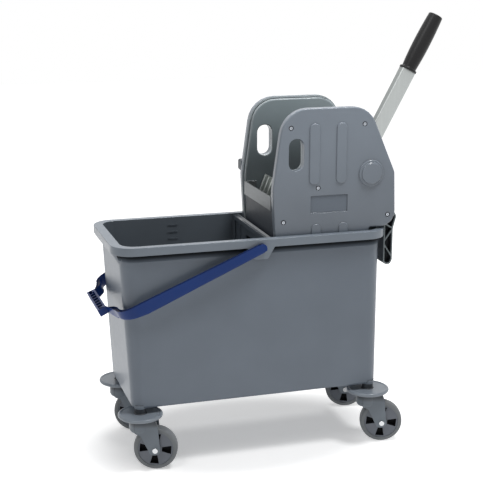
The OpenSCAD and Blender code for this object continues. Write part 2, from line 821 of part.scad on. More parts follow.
module lever_shaft() {
    color([0.70, 0.71, 0.70]) cross_rod(shaft_x, shaft_z, shaft_r, -split_y + still_fit, split_y - still_fit);
}

// Lever frame: local +Z runs up the lever, local Y stays across the well
module in_lever() {
    translate([shaft_x, lever_y, shaft_z]) rotate([0, 90 - lever_angle, 0]) children();
}

tube_foot = 20;
tube_top = lever_l - grip_l + 1;
tube_round = 3;
module tube_plan(inset) {
    w = tube_w / 2;
    t = tube_t / 2;
    outline([[-w, -t, tube_round], [w, -t, tube_round], [w, t, tube_round], [-w, t, tube_round]], inset);
}

module lever_tube() {
    color([0.72, 0.74, 0.73]) in_lever() difference() {
        between(-tube_foot, tube_top) tube_plan(0);
        between(-tube_foot - over, tube_top + over) tube_plan(tube_wall);
        cross_rod(0, 0, shaft_r + still_fit, -tube_t, tube_t);
    }
}

// Barrel grip with a collar over the tube's end and a plug inside the tube
grip_end_r = 12.6;
grip_mid_r = 14.4;
grip_edge = 1.5;
module lever_grip() {
    foot = lever_l - grip_l;
    collar_lap = 0.8;
    collar_r = norm([tube_w / 2 - tube_round, tube_t / 2 - tube_round]) + tube_round + collar_lap;
    collar_h = 5;
    collar_slant = 1.5;
    edge_in = grip_edge * 0.3;
    barrel_l = grip_l - collar_h - grip_edge;
    plug_l = 34;
    belly = 0.45;
    steps = 12;
    collar = [[0, foot], [collar_r, foot], [collar_r, foot + collar_h - collar_slant]];
    barrel = [for (i = [0:steps]) let (u = i / steps, v = (u - belly) / (u < belly ? belly : 1 - belly))
        [grip_mid_r - (grip_mid_r - grip_end_r) * v * v, foot + collar_h + u * barrel_l]];
    tip = [[grip_end_r - edge_in, lever_l - edge_in], [grip_end_r - grip_edge, lever_l], [0, lever_l]];
    color([0.10, 0.10, 0.11]) in_lever() {
        difference() {
            rotate_extrude() polygon(concat(collar, barrel, tip));
            between(foot - over, tube_top) tube_plan(-still_fit);
        }
        between(foot - plug_l, tube_top + over) tube_plan(tube_wall + still_fit);
    }
}

// Flat crank, keyed on the shaft, drawn on the near side
module crank(far) {
    hub_r = 15;
    eye_r = 11;
    nose = 4;
    ahead = unit([roller_x - shaft_x, roller_z - shaft_z]);
    side = left_of(ahead);
    hub = [shaft_x, shaft_z];
    tip = [roller_x, roller_z];
    color([0.66, 0.67, 0.66]) on_side(far) difference() {
        union() {
            cross_rod(shaft_x, shaft_z, hub_r, -crank_out, -crank_in);
            cross_rod(roller_x, roller_z, eye_r, -crank_out, -crank_in);
            along_y(-crank_out, -crank_in)
                polygon([hub + side * hub_r, hub - side * hub_r, tip - side * eye_r, tip + side * eye_r]);
        }
        cross_rod(shaft_x, shaft_z, shaft_r + still_fit, -crank_out - over, -crank_in + over);
        cross_rod(roller_x, roller_z, nose + still_fit, -crank_out - over, -crank_in + over);
    }
}

module crank_rollers() {
    nose = 4;
    color([0.80, 0.80, 0.78]) for (far = [false, true])
        on_side(far) {
            cross_rod(roller_x, roller_z, nose, -crank_out, -crank_in);
            cross_rod(roller_x, roller_z, roller_r, -crank_in, -cheek_in + cheek_gap);
        }
}

// Moving jaw

jaw_x = hinge_x - hinge_r - 3;
jaw_foot = hinge_z + 10;
jaw_bend = hinge_z + jaw_h;
jaw_half = well - 3;

// Side view of the bent sheet, moved forwards by a step
function sheet_points(step, t, foot) =
    let (lip = [sin(jaw_lip_lean), cos(jaw_lip_lean)] * jaw_lip, x = jaw_x - step)
    let (miter = t * tan(jaw_lip_lean / 2), across = [cos(jaw_lip_lean), -sin(jaw_lip_lean)] * t)
    [[x, foot], [x + t, foot], [x + t, jaw_bend - miter],
        [x + lip[0] + across[0], jaw_bend + lip[1] + across[1]],
        [x + lip[0], jaw_bend + lip[1]], [x, jaw_bend]];

module press_plate() {
    bead = 3;
    bead_w = 5;
    bead_n = 7;
    pitch = 2 * jaw_half / bead_n;
    color([0.60, 0.63, 0.62]) {
        along_y(-jaw_half, jaw_half) polygon(sheet_points(0, sheet_t, jaw_foot));
        for (i = [0:bead_n - 1]) {
            y = -jaw_half + (i + 0.5) * pitch;
            along_y(y - bead_w / 2, y + bead_w / 2) polygon(sheet_points(bead, bead, jaw_foot + bead));
        }
    }
}

// Side plate of the jaw with the hinge eye and the roller slot
module jaw_cheek(far) {
    eye_r = 10;
    slot_half = roller_r + slot_play;
    rim = 7;
    ahead = [cos(slot_angle), sin(slot_angle)];
    hinge = [hinge_x, hinge_z];
    slot_a = hinge + ahead * (slot_near - slot_play);
    slot_b = hinge + ahead * (slot_far + slot_play);
    back = jaw_x + sheet_t;
    color([0.62, 0.64, 0.63]) on_side(far) difference() {
        union() {
            cross_rod(hinge_x, hinge_z, eye_r, -cheek_out, -cheek_in);
            cross_rod(slot_b[0], slot_b[1], slot_half + rim, -cheek_out, -cheek_in);
            along_y(-cheek_out, -cheek_in)
                polygon([[back, jaw_foot], hinge + [eye_r * 0.9, -eye_r * 0.3],
                    slot_a - left_of(ahead) * (slot_half + rim),
                    slot_b - left_of(ahead) * (slot_half + rim),
                    slot_b + ahead * (slot_half + rim) * 0.7, [back, jaw_bend - 4]]);
        }
        cross_rod(hinge_x, hinge_z, hinge_r + turn_fit, -cheek_out - over, -cheek_in + over);
        for (p = [slot_a, slot_b])
            cross_rod(p[0], p[1], slot_half, -cheek_out - over, -cheek_in + over);
        along_y(-cheek_out - over, -cheek_in + over) strip(slot_a, slot_b, 2 * slot_half);
    }
}

// Castors, each drawn with its stem on the Z axis and its wheel behind it along +X

disc_t = 6.5;
disc_top = floor_z - 8;
disc_low = disc_top - disc_t;
neck_r = 9.5;
neck_slant = 1.5;
collar_r = 14;
fork_gap = pass_gap;
fork_top = disc_low - 3.5;
fork_head_r = 19.5;
fork_arm = 4.5;
wheel_gap = 2;
fork_half = tyre_w / 2 + wheel_gap + fork_arm;
stem_foot = fork_top - 4;

module at_castor(end, side) {
    translate([end == 0 ? -castor_x : castor_x, side == 0 ? -castor_y : castor_y, 0])
        rotate([0, 0, castor_yaw]) children();
}

module castor_stem() {
    color([0.75, 0.75, 0.74]) translate([0, 0, stem_foot]) cylinder(r = stem_r, h = stem_top - stem_foot);
}

// Round bumper with a dished top and a neck up to the tank
module bumper_disc() {
    edge = disc_t / 2;
    bore = stem_r + still_fit;
    dish = 1.2;
    color([0.45, 0.48, 0.50]) rotate_extrude() difference() {
        union() {
            translate([bumper_r - edge, disc_low + edge]) circle(r = edge);
            polygon([[bore, disc_low], [bumper_r - edge, disc_low], [bumper_r - edge, disc_top],
                [bumper_r - 2 * edge, disc_top - dish], [neck_r + neck_slant, disc_top - dish],
                [neck_r, disc_top], [neck_r, floor_z], [bore, floor_z]]);
        }
        square([bore, 2 * floor_z]);
    }
}

// Swivel head with its boss under the bumper, and two arms that slant back to the axle
module fork() {
    head_low = fork_top - 22;
    head_bevel = 4;
    eye = 9;
    shoulder = 4.5;
    arm_top = fork_top;
    room = wheel_r + wheel_gap;
    color([0.42, 0.45, 0.47]) difference() {
        union() {
            translate([0, 0, head_low])
                cylinder(r1 = fork_head_r - head_bevel / 2, r2 = fork_head_r, h = head_bevel);
            translate([0, 0, head_low + head_bevel])
                cylinder(r = fork_head_r, h = fork_top - head_low - head_bevel);
            translate([0, 0, fork_top]) cylinder(r = collar_r, h = disc_low - fork_top - fork_gap);
            for (y = [-fork_half, fork_half - fork_arm])
                along_y(y, y + fork_arm)
                    outline([[trail - eye + 1, wheel_r - eye, eye - 2], [trail + eye, wheel_r - eye, eye - 1],
                        [trail + eye / 2, arm_top - eye, 12], [trail + eye / 6, arm_top, 3],
                        [-fork_head_r / 2, arm_top, 2], [-fork_head_r / 2, head_low, 4],
                        [1, head_low - shoulder, 8]]);
        }
        translate([trail, 0, wheel_r]) rotate([90, 0, 0])
            cylinder(r = room, h = tyre_w + 2 * wheel_gap, center = true);
        translate([0, 0, stem_foot - pass_gap]) cylinder(r = stem_r + turn_fit, h = fork_top);
        cross_rod(trail, wheel_r, axle_r + still_fit, -fork_half - over, fork_half + over);
    }
}

// Bolt with a domed head on one side and a nut on the other
module axle() {
    head_r = axle_r + 1.7;
    head_t = 3;
    nut_r = axle_r + 2.2;
    color([0.85, 0.85, 0.84]) {
        cross_rod(trail, wheel_r, axle_r, -fork_half, fork_half);
        cross_rod(trail, wheel_r, head_r, -fork_half - head_t, -fork_half);
        translate([trail, fork_half, wheel_r]) rotate([-90, 0, 0]) cylinder(r = nut_r, h = head_t, $fn = 6);
    }
}

hub_r = wheel_r - tyre_t;

// Moulded wheel body with four pockets on each face, between its spokes
module wheel() {
    half = tyre_w / 2 - 1;
    boss_r = 9;
    boss_half = tyre_w / 2 + wheel_gap - pass_gap;
    web = 2;
    hole_in = 11;
    hole_out = hub_r - 3.5;
    in_half = 3.8;
    out_half = 7.4;
    first_angle = -5;
    color([0.36, 0.38, 0.41]) difference() {
        union() {
            cross_rod(trail, wheel_r, hub_r, -half, half);
            cross_rod(trail, wheel_r, boss_r, -boss_half, boss_half);
        }
        cross_rod(trail, wheel_r, axle_r + turn_fit, -boss_half - over, boss_half + over);
        for (i = [0:3])
            for (y = [-tyre_w, web / 2])
                translate([trail, 0, wheel_r]) rotate([0, -first_angle - i * 90, 0])
                    along_y(y, y + tyre_w - web / 2)
                        polygon([[hole_in, -in_half], [hole_out, -out_half], [hole_out, out_half],
                            [hole_in, in_half]]);
    }
}

// Tyre with a crowned tread
module tyre() {
    half = tyre_w / 2;
    edge = 4;
    color([0.38, 0.39, 0.40]) translate([trail, 0, wheel_r]) rotate([90, 0, 0])
        rotate_extrude()
            outline([[hub_r + still_fit, -half, 0], [wheel_r - 1, -half, edge], [wheel_r, 0, 30],
                [wheel_r - 1, half, edge], [hub_r + still_fit, half, 0]]);
}

module castor_piece(part) {
    if (part == "castor_stem") castor_stem();
    if (part == "bumper_disc") bumper_disc();
    if (part == "fork") fork();
    if (part == "axle") axle();
    if (part == "wheel") wheel();
    if (part == "tyre") tyre();
}

// The assembly

bucket();
divider();
bail_pins();
housing_cover(false, true);  // near_inner_cover
housing_cover(false, false);  // near_outer_cover
housing_cover(true, true);  // far_inner_cover
union() {  // far_outer_cover
    housing_cover(true, false);
    color([0.48, 0.51, 0.54]) far_peg();
}
cover_screws();
shaft_bush(false);  // near_shaft_bush
shaft_bush(true);  // far_shaft_bush
front_cross_bar();
front_jaw();
rear_stop_rod();
jaw_hinge_rod();
rear_hook(false);  // near_rear_hook
rear_hook(true);  // far_rear_hook
bail();
lever_shaft();
lever_tube();
lever_grip();
crank(false);  // near_crank
crank(true);  // far_crank
crank_rollers();
press_plate();
jaw_cheek(false);  // near_jaw_cheek
jaw_cheek(true);  // far_jaw_cheek
for (part = CASTOR_PARTS)
    for (end = [0, 1])
        for (side = [0, 1])
            at_castor(end, side) castor_piece(part);
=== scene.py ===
import json
import math

import bpy
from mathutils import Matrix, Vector

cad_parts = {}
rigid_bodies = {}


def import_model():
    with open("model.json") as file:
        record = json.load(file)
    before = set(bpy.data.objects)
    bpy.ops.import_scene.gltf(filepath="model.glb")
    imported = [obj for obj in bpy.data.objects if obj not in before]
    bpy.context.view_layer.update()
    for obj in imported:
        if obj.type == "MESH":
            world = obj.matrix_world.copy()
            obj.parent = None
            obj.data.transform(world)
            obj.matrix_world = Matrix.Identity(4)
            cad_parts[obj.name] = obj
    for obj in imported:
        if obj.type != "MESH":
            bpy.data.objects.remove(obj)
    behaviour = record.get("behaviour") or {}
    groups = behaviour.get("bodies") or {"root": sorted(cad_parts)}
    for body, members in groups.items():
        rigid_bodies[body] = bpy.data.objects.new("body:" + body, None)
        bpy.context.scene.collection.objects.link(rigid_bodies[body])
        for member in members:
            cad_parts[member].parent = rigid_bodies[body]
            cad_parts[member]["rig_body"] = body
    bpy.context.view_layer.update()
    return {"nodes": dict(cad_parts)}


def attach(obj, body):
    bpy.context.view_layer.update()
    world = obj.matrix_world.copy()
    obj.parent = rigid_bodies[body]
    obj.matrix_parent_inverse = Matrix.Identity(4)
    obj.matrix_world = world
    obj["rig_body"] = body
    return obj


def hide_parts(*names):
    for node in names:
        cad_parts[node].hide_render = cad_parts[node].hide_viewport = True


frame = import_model()

# Camera
# It stands at the photograph's place: low, in front of the long side and a little
# towards the pouring end.
view_azimuth = math.radians(-16.87)
view_elevation = math.radians(14.21)
view_distance = 2.04424
view_target = Vector((-0.00191, 0, 0.34489))
view_lens = 84.156
towards_camera = Vector((
    math.sin(view_azimuth) * math.cos(view_elevation),
    -math.cos(view_azimuth) * math.cos(view_elevation),
    math.sin(view_elevation),
))
bpy.ops.object.camera_add(location=view_target + towards_camera * view_distance)
camera = bpy.context.object
camera.rotation_mode = "QUATERNION"
camera.rotation_quaternion = (-towards_camera).to_track_quat("-Z", "Y")
camera.data.lens = view_lens
bpy.context.scene.camera = camera
bpy.context.scene.view_settings.view_transform = "Standard"


# Studio floor
# A wide sheet of white paper. It glows white at a distance, and keeps the trolley's shadow
# in an oval round the castors. The trolley itself gets only a duller light from it.
def paint(red, green, blue):
    """A colour written in the 0 to 255 steps of a screen, as the shader's linear value."""
    steps = [c / 255 for c in (red, green, blue)]
    return [c / 12.92 if c <= 0.04045 else ((c + 0.055) / 1.055) ** 2.4 for c in steps] + [1]


def new_material(name):
    """An empty material with its tree, its shader and the piece's own coordinates."""
    material = bpy.data.materials.new(name)
    material.use_nodes = True
    tree = material.node_tree
    place = tree.nodes.new("ShaderNodeTexCoord").outputs["Object"]
    return material, tree, tree.nodes["Principled BSDF"], place


def glowing(tree, surface, strength):
    """A surface that also gives out white light, of a strength that differs over it."""
    glow = tree.nodes.new("ShaderNodeEmission")
    glow.inputs["Color"].default_value = (1, 1, 1, 1)
    tree.links.new(strength, glow.inputs["Strength"])
    both = tree.nodes.new("ShaderNodeAddShader")
    tree.links.new(surface, both.inputs[0])
    tree.links.new(glow.outputs[0], both.inputs[1])
    return both.outputs[0]


def seen_white(tree):
    """Is 1 for the rays that see the studio as white: straight, mirrored or through glass."""
    rays = tree.nodes.new("ShaderNodeLightPath")
    straight = tree.nodes.new("ShaderNodeMath")
    straight.operation = "MAXIMUM"
    tree.links.new(rays.outputs["Is Camera Ray"], straight.inputs[0])
    tree.links.new(rays.outputs["Is Transmission Ray"], straight.inputs[1])
    mirrored = tree.nodes.new("ShaderNodeMath")
    mirrored.operation = "MAXIMUM"
    tree.links.new(straight.outputs[0], mirrored.inputs[0])
    tree.links.new(rays.outputs["Is Glossy Ray"], mirrored.inputs[1])
    return mirrored.outputs[0]


def white_to_eye(tree, lighting, seen):
    """Chooses what the trolley is lit by and what the eye sees."""
    choice = tree.nodes.new("ShaderNodeMixShader")
    tree.links.new(seen_white(tree), choice.inputs[0])
    tree.links.new(lighting, choice.inputs[1])
    tree.links.new(seen, choice.inputs[2])
    return choice.outputs[0]


floor_reach = 6.0
paper_grey = 0.9
paper_rough = 0.9
paper_shine = 0.1
shadow_half_length = 0.37
shadow_half_width = 0.24
shadow_core = 0.55
shadow_glow = 0.38
bounce_grey = 0.75
bounce_glow = 0.3
floor_material, tree, shader, place = new_material("studio_paper")
shader.inputs["Base Color"].default_value = (paper_grey, paper_grey, paper_grey, 1)
shader.inputs["Roughness"].default_value = paper_rough
shader.inputs["Specular IOR Level"].default_value = paper_shine
oval = tree.nodes.new("ShaderNodeVectorMath")
oval.operation = "MULTIPLY"
oval.inputs[1].default_value = (1 / shadow_half_length, 1 / shadow_half_width, 1)
tree.links.new(place, oval.inputs[0])
spread = tree.nodes.new("ShaderNodeVectorMath")
spread.operation = "LENGTH"
tree.links.new(oval.outputs["Vector"], spread.inputs[0])
fade = tree.nodes.new("ShaderNodeMapRange")
fade.interpolation_type = "SMOOTHSTEP"
fade.inputs["From Min"].default_value = shadow_core
fade.inputs["To Min"].default_value = shadow_glow
tree.links.new(spread.outputs["Value"], fade.inputs["Value"])
dull_fade = tree.nodes.new("ShaderNodeMath")
dull_fade.operation = "MULTIPLY"
dull_fade.inputs[1].default_value = bounce_glow
tree.links.new(fade.outputs["Result"], dull_fade.inputs[0])
dull_paper = tree.nodes.new("ShaderNodeBsdfDiffuse")
dull_paper.inputs["Color"].default_value = (bounce_grey, bounce_grey, bounce_grey, 1)
paper = white_to_eye(
    tree,
    lighting=glowing(tree, dull_paper.outputs[0], dull_fade.outputs[0]),
    seen=glowing(tree, shader.outputs[0], fade.outputs["Result"]),
)
tree.links.new(paper, tree.nodes["Material Output"].inputs["Surface"])
bpy.ops.object.select_all(action="DESELECT")
bpy.ops.mesh.primitive_plane_add(size=2 * floor_reach)
floor = bpy.context.object
floor.name = "studio_floor"
floor.data.materials.append(floor_material)

# Studio light
# An even, dim room gives the plain level. A small lamp over the wringer's near side rakes
# down the walls, a wide one stands off the pouring end, and a third hangs behind the trolley
# for its upper edges.
room_level = 0.10
world = bpy.data.worlds.new("studio_surroundings")
bpy.context.scene.world = world
world.use_nodes = True
tree = world.node_tree
surround = tree.nodes["Background"]
surround.inputs["Color"].default_value = (1, 1, 1, 1)
surround.inputs["Strength"].default_value = room_level
backdrop = tree.nodes.new("ShaderNodeBackground")
backdrop.inputs["Color"].default_value = (1, 1, 1, 1)
room = white_to_eye(tree, lighting=surround.outputs[0], seen=backdrop.outputs[0])
tree.links.new(room, tree.nodes["World Output"].inputs["Surface"])


def soft_lamp(name, place, size, watts):
    """A square studio lamp that points at the middle of the trolley."""
    bpy.ops.object.light_add(type="AREA", location=place)
    lamp = bpy.context.object
    lamp.name = name
    lamp.data.size = size
    lamp.data.energy = watts
    lamp.rotation_mode = "QUATERNION"
    lamp.rotation_quaternion = (view_target - Vector(place)).to_track_quat("-Z", "Y")


soft_lamp("key_lamp", place=(0.5, -0.45, 1.8), size=0.4, watts=14)
soft_lamp("end_lamp", place=(-1.2, -0.9, 2.2), size=0.9, watts=8.5)
soft_lamp("edge_lamp", place=(-0.2, 0.9, 2.1), size=0.6, watts=8)


# Tank
# One deep polypropylene moulding with a hanging rim, a pouring lip and a fine matt grain.
# Its edges have the small radii that the mould leaves. Painted shadow darkens the long walls
# under the rim, the rim is painted lighter as a highlight, and inside it is rougher and
# painted darker as shade.
def noise_field(tree, place, size, detail, harshness=0.5):
    """A noise pattern whose features are about one size."""
    field = tree.nodes.new("ShaderNodeTexNoise")
    field.inputs["Scale"].default_value = 1 / size
    field.inputs["Detail"].default_value = detail
    field.inputs["Roughness"].default_value = harshness
    tree.links.new(place, field.inputs["Vector"])
    return field.outputs["Fac"]


def tinted(tree, pattern, colour, tint):
    """A colour that a pattern makes a little darker and lighter."""
    dark_below, light_above = 0.3, 0.7
    ramp = tree.nodes.new("ShaderNodeValToRGB")
    ends = ((dark_below, 1 - tint), (light_above, 1 + tint))
    for end, (position, share) in zip(ramp.color_ramp.elements, ends):
        end.position = position
        end.color = [min(1, c * share) for c in colour[:3]] + [1]
    tree.links.new(pattern, ramp.inputs["Fac"])
    return ramp.outputs["Color"]


def dimmed(tree, colour, share):
    """A colour times a share that differs over the surface."""
    scale = tree.nodes.new("ShaderNodeVectorMath")
    scale.operation = "SCALE"
    tree.links.new(colour, scale.inputs[0])
    tree.links.new(share, scale.inputs["Scale"])
    return scale.outputs["Vector"]


def uneven_gloss(tree, shader, pattern, rough, spread):
    """Lets a pattern shift the roughness to both sides of its mean."""
    gloss = tree.nodes.new("ShaderNodeMapRange")
    gloss.inputs["To Min"].default_value = rough - spread
    gloss.inputs["To Max"].default_value = rough + spread
    tree.links.new(pattern, gloss.inputs["Value"])
    tree.links.new(gloss.outputs["Result"], shader.inputs["Roughness"])


def fine_relief(tree, shader, pattern, strength, depth):
    """Lets a pattern roughen the surface itself."""
    relief = tree.nodes.new("ShaderNodeBump")
    relief.inputs["Strength"].default_value = strength
    relief.inputs["Distance"].default_value = depth
    tree.links.new(pattern, relief.inputs["Height"])
    tree.links.new(relief.outputs["Normal"], shader.inputs["Normal"])


def moulded_plastic(name, colour, tint=0.05, rough=0.5, grain=0.05, shine=0.4, skin=0.0,
                    shade_band=None, crease=0.5):
    """Moulded plastic: slow changes of tint, scuffs in the gloss and a spark-eroded grain.

    A skin is a clear gloss on top. A crease share is painted shade: it darkens the narrow inner
    corners. A shade band is painted shade by height: it holds the level where it is full, the
    level where it ends, and what it leaves of the colour.
    """
    cloud_size = 0.09
    scuff_size = 0.015
    grain_size = 0.0007
    scuff_spread = 0.09
    skin_rough = 0.2
    crease_reach = 0.016
    crease_shut, crease_open = 0.45, 0.95
    material, tree, shader, place = new_material(name)
    shader.inputs["Specular IOR Level"].default_value = shine
    shader.inputs["Coat Weight"].default_value = skin
    shader.inputs["Coat Roughness"].default_value = skin_rough
    clouds = noise_field(tree, place, cloud_size, detail=4)
    # Painted shade: ambient occlusion darkens the colour in narrow inner corners.
    shut_in = tree.nodes.new("ShaderNodeAmbientOcclusion")
    shut_in.samples = 8
    shut_in.only_local = True
    shut_in.inputs["Distance"].default_value = crease_reach
    crease_painted_shade = tree.nodes.new("ShaderNodeMapRange")
    crease_painted_shade.inputs["From Min"].default_value = crease_shut
    crease_painted_shade.inputs["From Max"].default_value = crease_open
    crease_painted_shade.inputs["To Min"].default_value = 1 - crease
    tree.links.new(shut_in.outputs["AO"], crease_painted_shade.inputs["Value"])
    tint_with_painted_shade = dimmed(tree, tinted(tree, clouds, colour, tint), crease_painted_shade.outputs["Result"])
    # Painted shade: the colour darkens between two heights.
    if shade_band:
        level = tree.nodes.new("ShaderNodeSeparateXYZ")
        tree.links.new(place, level.inputs["Vector"])
        height_painted_shade = tree.nodes.new("ShaderNodeMapRange")
        height_painted_shade.interpolation_type = "SMOOTHSTEP"
        for socket, value in zip(("From Min", "From Max", "To Min"), shade_band):
            height_painted_shade.inputs[socket].default_value = value
        tree.links.new(level.outputs["Z"], height_painted_shade.inputs["Value"])
        tint_with_painted_shade = dimmed(tree, tint_with_painted_shade, height_painted_shade.outputs["Result"])
    tree.links.new(tint_with_painted_shade, shader.inputs["Base Color"])
    scuffs = noise_field(tree, place, scuff_size, detail=8, harshness=0.7)
    uneven_gloss(tree, shader, scuffs, rough, scuff_spread)
    pits = noise_field(tree, place, grain_size, detail=2)
    fine_relief(tree, shader, pits, strength=grain, depth=grain_size)
    return material


def take_up(piece):
    """Makes one piece the only selected and active one."""
    bpy.ops.object.select_all(action="DESELECT")
    piece.select_set(True)
    bpy.context.view_layer.objects.active = piece


def merged_copy(node, weld=0.000004):
    """A copy of a solid as one mesh, whose flat sides are single faces."""
    flat_within = math.radians(0.4)
    piece = bpy.data.objects.new(node + "_piece", frame["nodes"][node].data.copy())
    bpy.context.collection.objects.link(piece)
    take_up(piece)
    bpy.ops.object.mode_set(mode="EDIT")
    bpy.ops.mesh.select_all(action="SELECT")
    bpy.ops.mesh.remove_doubles(threshold=weld)
    bpy.ops.mesh.dissolve_degenerate(threshold=weld)
    bpy.ops.mesh.dissolve_limited(angle_limit=flat_within)
    bpy.ops.object.mode_set(mode="OBJECT")
    return piece


def moulded_edges(piece, node, material, slot, edge=0.0006, steps=2, sharp=34):
    """Rounds the hard edges, evens the shading, and lets the piece stand in for its solid.

    An edge is hard where its faces turn by more than the sharp angle, in degrees.
    """
    take_up(piece)
    if edge:
        radius = piece.modifiers.new("edge_radius", "BEVEL")
        radius.width = edge
        radius.segments = steps
        radius.limit_method = "ANGLE"
        radius.angle_limit = math.radians(sharp)
        radius.use_clamp_overlap = False
        radius.miter_outer = "MITER_ARC"
        bpy.ops.object.modifier_apply(modifier="edge_radius")
    bpy.ops.object.shade_smooth_by_angle(angle=math.radians(sharp))
    evened = piece.modifiers.new("even_shading", "WEIGHTED_NORMAL")
    evened.keep_sharp = True
    bpy.ops.object.modifier_apply(modifier="even_shading")
    piece.data.materials.clear()
    piece.data.materials.append(material)
    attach(piece, frame["nodes"][node]["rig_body"])
    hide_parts(node)
    return piece


def select_faces(piece, wanted):
    """Goes into edit mode with only the wanted faces selected."""
    take_up(piece)
    bpy.context.tool_settings.mesh_select_mode = (False, False, True)
    bpy.ops.object.mode_set(mode="EDIT")
    bpy.ops.mesh.select_all(action="DESELECT")
    bpy.ops.object.mode_set(mode="OBJECT")
    for face in piece.data.polygons:
        face.select = wanted(face)
    bpy.ops.object.mode_set(mode="EDIT")


def second_finish(piece, material, wanted):
    """Gives the wanted faces of a finished piece another material."""
    piece.data.materials.append(material)
    number = len(piece.data.materials) - 1
    for face in piece.data.polygons:
        if wanted(face):
            face.material_index = number


tank_plastic = moulded_plastic("tank_plastic", paint(117, 127, 139), rough=0.48, skin=0.25)
# Painted shade: the inside is a darker copy of the tank's plastic.
tank_inside_shade_plastic = moulded_plastic("tank_inside_shade_plastic", paint(93, 101, 109), rough=0.55)
# Painted shadow: the long walls darken up towards the rim.
tank_shade_plastic = moulded_plastic(
    "tank_shade_plastic", paint(121, 131, 143), rough=0.6, shine=0.06,
    shade_band=(0.3715, 0.3610, 0.10))
# Painted highlight: the rim is a lighter copy of the tank's plastic.
tank_rim_highlight_plastic = moulded_plastic(
    "tank_rim_highlight_plastic", paint(128, 138, 149), rough=0.45, skin=0.35, crease=0.1)
tank_floor = 0.110
tank_brim = 0.389
inner_reach = 0.0985
floor_facing = 0.5
rim_low = 0.3752
rim_out = 0.1055
wall_from = 0.080
wall_facing = 0.4
shade_foot = 0.3630


def inside_tank(face):
    """The inner sides of the walls, and the floor."""
    held = tank_floor < face.center.z < tank_brim and abs(face.center.y) < inner_reach
    inward = face.center.x * face.normal.x + face.center.y * face.normal.y < 0
    return held and (inward or face.normal.z > floor_facing)


def in_rim(face):
    """The hanging rim with its ears."""
    return face.center.z > rim_low or abs(face.center.y) > rim_out


def side_under_rim(face):
    """The outer sides of the long walls, without the rim."""
    outward = face.normal.y * face.center.y > wall_facing * abs(face.center.y)
    return outward and face.center.z < rim_low and wall_from < abs(face.center.y) < rim_out


tank = merged_copy("bucket", weld=0.00006)
select_faces(tank, side_under_rim)
bpy.ops.mesh.bisect(plane_co=(0, 0, shade_foot), plane_no=(0, 0, 1))
bpy.ops.object.mode_set(mode="OBJECT")
moulded_edges(tank, "bucket", tank_plastic, "tank_plastic", edge=0.0010, steps=3, sharp=58)
second_finish(
    tank, tank_shade_plastic, lambda face: side_under_rim(face) and face.center.z > shade_foot)
second_finish(tank, tank_rim_highlight_plastic, in_rim)
second_finish(tank, tank_inside_shade_plastic, inside_tank)


# Volume scale
# Raised bars on the far inner wall of the tank, one for each litre. They are moulded with
# the wall, in the same plastic, painted darker as shade like the inside.
def block(name, size):
    """A plain block at the origin, as the start of a modelled shape."""
    bpy.ops.object.select_all(action="DESELECT")
    bpy.ops.mesh.primitive_cube_add(size=1)
    start = bpy.context.object
    start.name = name
    start.scale = size
    bpy.ops.object.transform_apply(location=False, rotation=False, scale=True)
    return start


def joined_copies(model, places):
    """Puts a copy of a modelled shape at each place, joins the copies and removes the model."""
    copies = []
    for place in places:
        copy = bpy.data.objects.new(model.name, model.data.copy())
        bpy.context.collection.objects.link(copy)
        copy.location = place
        copies.append(copy)
    bpy.data.objects.remove(model)
    bpy.ops.object.select_all(action="DESELECT")
    for copy in copies:
        copy.select_set(True)
    bpy.context.view_layer.objects.active = copies[0]
    bpy.ops.object.join()
    bpy.ops.object.transform_apply(location=True, rotation=False, scale=False)
    return bpy.context.object


bar_length = 0.019
bar_height = 0.0013
bar_out = 0.0003
bar_round = 0.00012
bar_middle = -0.1015
bar_sharp = math.radians(30)
litre_rise = 0.0125
top_litre = 0.376
litres = 19
wall_level = 0.2715
wall_reach = 0.0942
wall_draft = 0.0195
litre_bar = block("litre_bar", (bar_length, 2 * bar_out, bar_height))
bpy.ops.object.mode_set(mode="EDIT")
bpy.ops.mesh.select_all(action="SELECT")
bpy.ops.mesh.bevel(offset=bar_round, segments=2, affect="EDGES")
bpy.ops.object.mode_set(mode="OBJECT")
bar_levels = [top_litre - litre * litre_rise for litre in range(litres)]
volume_scale = joined_copies(litre_bar, [
    (bar_middle, wall_reach + wall_draft * (level - wall_level), level) for level in bar_levels])
volume_scale.name = "volume_scale"
bpy.ops.object.shade_smooth_by_angle(angle=bar_sharp)
volume_scale.data.materials.append(tank_inside_shade_plastic)
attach(volume_scale, "trolley")

# Divider
# A lift-out panel of the same plastic as the tank, in a darker batch. It has a finger slot
# and stands in guides on the walls, and the bead along its top is grooved.
divider_plastic = moulded_plastic(
    "divider_plastic", paint(88, 96, 105), rough=0.40, skin=0.6)
divider_top = 0.3874
bead_facing = 0.9
groove_edge = 0.0022
groove_depth = 0.0035
divider = merged_copy("divider")
select_faces(
    divider, lambda face: face.normal.z > bead_facing and face.center.z > divider_top)
bpy.ops.mesh.inset(thickness=groove_edge, depth=-groove_depth)
bpy.ops.object.mode_set(mode="OBJECT")
moulded_edges(divider, "divider", divider_plastic, "divider_plastic", edge=0.0009, steps=3)


# Bail pins
# Two plain moulded studs, one in each ear of the rim. The ends of the bail snap over them
# and turn on them.
def edge_finished(node, material, slot, **edges):
    """The plain way from a solid to its finished piece."""
    return moulded_edges(merged_copy(node), node, material, slot, **edges)


pin_plastic = moulded_plastic("pin_plastic", paint(112, 120, 126), rough=0.5)
edge_finished("bail_pins", pin_plastic, "pin_plastic", edge=0.0005)


# Bail
# A blue moulded carrying handle that turns on the two studs and hangs at the pouring end.
# Its band sweeps out in a jog on both sides of the grip, has a channel along its top, and
# its lower outer edge is well rounded. The top of the band and its channel are painted dark
# as shade. The grip is a ribbed trough.
def select_points(piece, wanted):
    """Goes into edit mode with only the wanted vertices selected."""
    take_up(piece)
    bpy.context.tool_settings.mesh_select_mode = (True, False, False)
    bpy.ops.object.mode_set(mode="EDIT")
    bpy.ops.mesh.select_all(action="DESELECT")
    bpy.ops.object.mode_set(mode="OBJECT")
    for vertex in piece.data.vertices:
        vertex.select = wanted(vertex.co)
    bpy.ops.object.mode_set(mode="EDIT")


